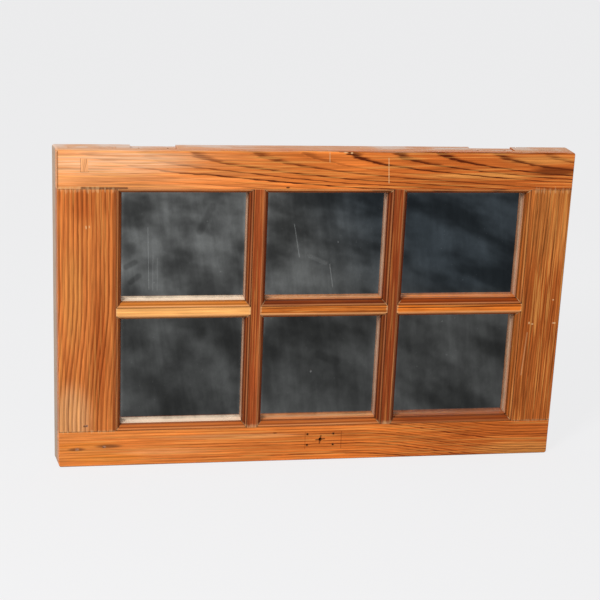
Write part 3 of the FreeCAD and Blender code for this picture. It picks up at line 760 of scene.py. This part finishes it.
def mirror_glass(node):
    """Old silvered glass, unevenly clouded, with dust along its edges, and a painted back."""
    s = Surface(node, specular=0.5)
    low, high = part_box(node)
    inset_x = (s.x - low.x).least(high.x - s.x)
    inset_z = (s.z - low.z).least(high.z - s.z)
    edge = inset_x.least(inset_z)
    corner = inset_x + inset_z
    cloud = s.noise(s.x / 0.040, 0.0, s.z / 0.050, detail=6.0, roughness=0.68)
    wiped = s.noise(s.x / 0.013 + s.z / 0.09, 0.0, s.z / 0.10, detail=3.0)
    clouded = (cloud.rise(0.30, 0.70) * 0.30 + wiped.rise(0.42, 0.66) * 0.12) * HAZE[node]
    clouded = clouded + edge.fall(0.002, 0.011) * (cloud * 0.7 + 0.10)
    dots = s.cells(s.x / 0.013, 0.0, s.z / 0.013, feature="F1").fall(0.03, 0.09)
    specks = s.cells(s.x / 0.0055 + 3.0, 0.0, s.z / 0.0065, feature="F1").fall(0.06, 0.16)
    dust = dots * cloud.rise(0.45, 0.62) * 0.8 + specks * cloud.rise(0.48, 0.66) * 0.3
    dust = dust + (edge.fall(0.003, 0.010) * 0.35 + corner.fall(0.008, 0.03) * 0.3) * cloud
    for mark in GLASS_MARKS:
        if low.x < mark.middle()[0] < high.x and low.z < mark.middle()[1] < high.z:
            if mark.strength > 0:
                dust = dust + mark.mask(s)
            else:
                clouded = clouded + mark.mask(s) * cloud
    silvered = s.ny.fall(-0.6, -0.4)
    silver = s.shade(SILVER, (clouded + 0.46).most(0.25).least(1.0))
    scuffs = s.noise(s.x / 0.03 + cloud, 0.0, s.z / 0.012 + cloud, detail=5.0, roughness=0.7)
    backing = s.mix(scuffs.rise(0.58, 0.72) * 0.3, s.shade(MIRROR_BACKING, cloud * 0.9 + 0.55), PUTTY)
    colour = s.mix(silvered, backing, s.mix(dust.least(1.0), silver, SILVER))
    metallic = silvered * (1.0 - dust.least(1.5) * 0.09)
    roughness = silvered * 0.02 + (1.0 - silvered) * 0.75
    return s.finish(colour, roughness, metallic=metallic)


# Small parts


PUTTY_RELIEF = 0.0004
PLATING_RELIEF = 0.00008
RUST_RELIEF = 0.0002
METAL_EDGE = 0.0006  # radius that the edges of the metal are worn to


def putty():
    """Dry linseed putty, lumpy and cracked, with some old paint on it."""
    s = Surface("putty", specular=0.3)
    lumps = s.noise(s.x / 0.009, s.y / 0.006, s.z / 0.009, detail=4.0)
    bent = (lumps - 0.5) * 0.9
    cracks = s.cells(s.x / 0.013 + bent, s.y / 0.02, s.z / 0.013 - bent).fall(0.0, 0.035)
    colour = s.shade(PUTTY, lumps * 0.7 + 0.62)
    colour = s.mix(cracks * lumps.rise(0.38, 0.60) * 0.55, colour, GRIME_AND_SHADE)
    colour = s.mix(lumps.rise(0.55, 0.75) * 0.5, colour, OLD_PAINT)
    return s.finish(colour, lumps * 0.2 + 0.65, lumps - cracks * 0.6, PUTTY_RELIEF)


def plated_steel(name, rust_share):
    """Zinc-plated steel with rounded edges and spots of rust."""
    s = Surface(name)
    spangle = s.cells(s.x / 0.0022, s.y / 0.0022, s.z / 0.0022, feature="F1")
    stain = s.noise(s.x / 0.004, s.y / 0.004, s.z / 0.004, detail=4.0)
    edge = s.corners(0.0005)
    rust = ((stain + edge * 0.12).rise(0.60, 0.70) * rust_share).least(1.0)
    colour = s.shade(ZINC, spangle * 0.25 + 0.72)
    colour = s.mix(rust, colour, RUST)
    roughness = spangle * 0.2 + 0.25 + rust * 0.4
    return s.finish(colour, roughness, stain, PLATING_RELIEF, metallic=1.0 - rust, rounded=METAL_EDGE)


def rusted_iron():
    """Crusted iron of the nail heads."""
    s = Surface("nail_iron")
    crust = s.noise(s.x / 0.0012, s.y / 0.0012, s.z / 0.0012, detail=4.0)
    colour = s.mix(crust.rise(0.4, 0.65), IRON, RUST)
    return s.finish(colour, crust * 0.3 + 0.6, crust, RUST_RELIEF)


def paint_node(name, material):
    """Gives a node of the frame its finish."""
    slots = cad_nodes[name].data.materials
    slots.clear()
    slots.append(material)


for name, grain in MEMBERS.items():
    paint_node(name, wood(name, grain))
putty_finish = putty()
for name in cad_nodes:
    if name.startswith("mirror_"):
        paint_node(name, mirror_glass(name))
    elif name.startswith("putty_"):
        paint_node(name, putty_finish)
hanger_finish = plated_steel("hanger_steel", 0.6)
for name in ("left_hanger_strap", "right_hanger_strap", "left_hanger_ring", "right_hanger_ring"):
    paint_node(name, hanger_finish)
paint_node("hanger_screws", plated_steel("screw_steel", 0.4))
paint_node("glazing_points", plated_steel("point_steel", 0.9))
paint_node("joint_nails", rusted_iron())


# Stage


FLOOR_LEVEL = -0.0004
FLOOR_HALF = 14.0
FLOOR_PALE = srgb(247, 247, 248)
FLOOR_SHADED = srgb(222, 222, 222)
SEEN_SHARE = 0.85
AMBIENT = 0.42
KEY_POWER = 24.0
KEY_SIZE = 0.55
KEY_PLACE = Vector((-1.0, -1.35, 1.35))
KEY_TARGET = Vector((0.0, 0.0, 0.2))

# Dim card in front of the mirror
ROOM_NEAR = -0.004
ROOM_FAR = -12.0
ROOM_HALF = 9.0
ROOM_LEVEL = 0.0006
ROOM_FOOT = (-0.115, -0.030)  # where it brightens to the floor's own tone
ROOM_TURN = (-0.78, -0.58)  # where its far part, which the upper panes see, gives way to its near part
FOOT_GLOW = 0.8
NEAR_GLOW = 0.078
NEAR_EXTRA = 0.022  # at its left
FAR_GLOW = 0.072
FAR_EXTRA = 0.100
ROOM_LIGHT = (1.0, 1.0, 0.99, 1.0)
ROOM_SHADE = (0.72, 0.86, 1.0, 1.0)


def flat_plane(name, x0, x1, y0, y1, z):
    mesh = bpy.data.meshes.new(name)
    corners = [(x0, y0, z), (x1, y0, z), (x1, y1, z), (x0, y1, z)]
    mesh.from_pydata(corners, [], [(0, 1, 2, 3)])
    plane = bpy.data.objects.new(name, mesh)
    bpy.context.scene.collection.objects.link(plane)
    return plane


def seen_directly(tree):
    """One for rays from the camera and through or off glass and metal, nought for the light itself."""
    rays = tree.nodes.new("ShaderNodeLightPath").outputs
    camera = Field(tree, rays["Is Camera Ray"])
    glossy = Field(tree, rays["Is Glossy Ray"])
    through = Field(tree, rays["Is Transmission Ray"])
    return camera.most(glossy).most(through)


def pale_floor():
    floor = flat_plane("floor", -FLOOR_HALF, FLOOR_HALF, -FLOOR_HALF, FLOOR_HALF, FLOOR_LEVEL)
    material = bpy.data.materials.new("floor")
    material.use_nodes = True
    material.cycles.emission_sampling = "NONE"
    tree = material.node_tree
    tree.nodes.clear()
    lit = tree.nodes.new("ShaderNodeBsdfDiffuse")
    lit.inputs["Color"].default_value = FLOOR_SHADED
    pale = tree.nodes.new("ShaderNodeEmission")
    pale.inputs["Color"].default_value = FLOOR_PALE
    both = tree.nodes.new("ShaderNodeMixShader")
    feed(tree, both.inputs["Fac"], seen_directly(tree) * SEEN_SHARE)
    tree.links.new(lit.outputs["BSDF"], both.inputs[1])
    tree.links.new(pale.outputs["Emission"], both.inputs[2])
    output = tree.nodes.new("ShaderNodeOutputMaterial")
    tree.links.new(both.outputs["Shader"], output.inputs["Surface"])
    floor.data.materials.append(material)


def dim_room():
    """A dim card on the floor in front, which only the mirror and the varnish see."""
    card = flat_plane("dim_room", -ROOM_HALF, ROOM_HALF, ROOM_FAR, ROOM_NEAR, ROOM_LEVEL)
    card.visible_camera = False
    card.visible_diffuse = False
    card.visible_transmission = False
    card.visible_shadow = False
    s = Surface("dim_room", specular=0.0)
    far = s.y.fall(*ROOM_TURN)
    near_level = s.x.fall(-0.10, 0.10) * NEAR_EXTRA + NEAR_GLOW
    far_level = s.x.fall(-0.12, 0.42) * FAR_EXTRA + FAR_GLOW
    forms = s.noise(s.x * 8.0, s.y * 3.2, 0.0, detail=3.0).rise(0.34, 0.66) + 0.5
    level = (near_level + far * (far_level - near_level)) * forms
    foot = s.y.rise(*ROOM_FOOT)
    light = s.shader.inputs
    feed(s.tree, light["Emission Color"], s.mix(far * s.x.rise(0.15, 0.45), ROOM_LIGHT, ROOM_SHADE))
    feed(s.tree, light["Emission Strength"], level + foot * (FOOT_GLOW - level))
    material = s.finish((0.0, 0.0, 0.0, 1.0), 1.0)
    material.cycles.emission_sampling = "NONE"
    card.data.materials.append(material)


def pale_world():
    world = bpy.data.worlds.new("world")
    world.use_nodes = True
    tree = world.node_tree
    tree.nodes.clear()
    background = tree.nodes.new("ShaderNodeBackground")
    background.inputs["Color"].default_value = FLOOR_PALE
    feed(tree, background.inputs["Strength"], seen_directly(tree) * (1.0 - AMBIENT) + AMBIENT)
    output = tree.nodes.new("ShaderNodeOutputWorld")
    tree.links.new(background.outputs["Background"], output.inputs["Surface"])
    bpy.context.scene.world = world


def key_lamp():
    lamp = bpy.data.lights.new("key", "AREA")
    lamp.energy = KEY_POWER
    lamp.shape = "DISK"
    lamp.size = KEY_SIZE
    key = bpy.data.objects.new("key", lamp)
    key.location = KEY_PLACE
    key.rotation_euler = (KEY_TARGET - KEY_PLACE).to_track_quat("-Z", "Y").to_euler()
    bpy.context.scene.collection.objects.link(key)


def photo_camera():
    """The camera at the photograph's place, turned by its yaw, pitch and roll."""
    forward = Vector((
        math.sin(PHOTO_YAW) * math.cos(PHOTO_PITCH),
        math.cos(PHOTO_YAW) * math.cos(PHOTO_PITCH),
        math.sin(PHOTO_PITCH),
    ))
    level = Vector((math.cos(PHOTO_YAW), -math.sin(PHOTO_YAW), 0.0))
    upright = level.cross(forward)
    right = level * math.cos(PHOTO_ROLL) + upright * math.sin(PHOTO_ROLL)
    up = upright * math.cos(PHOTO_ROLL) - level * math.sin(PHOTO_ROLL)
    turn = Matrix((right, up, -forward)).transposed().to_4x4()
    lens = bpy.data.cameras.new("camera")
    lens.sensor_width = SENSOR_WIDTH
    lens.lens = FOCAL_PIXELS / PHOTO_PIXELS * SENSOR_WIDTH
    camera = bpy.data.objects.new("camera", lens)
    camera.matrix_world = Matrix.Translation(PHOTO_EYE) @ turn
    bpy.context.scene.collection.objects.link(camera)
    bpy.context.scene.camera = camera


pale_floor()
dim_room()
pale_world()
key_lamp()
photo_camera()
bpy.context.scene.view_settings.view_transform = "Standard"
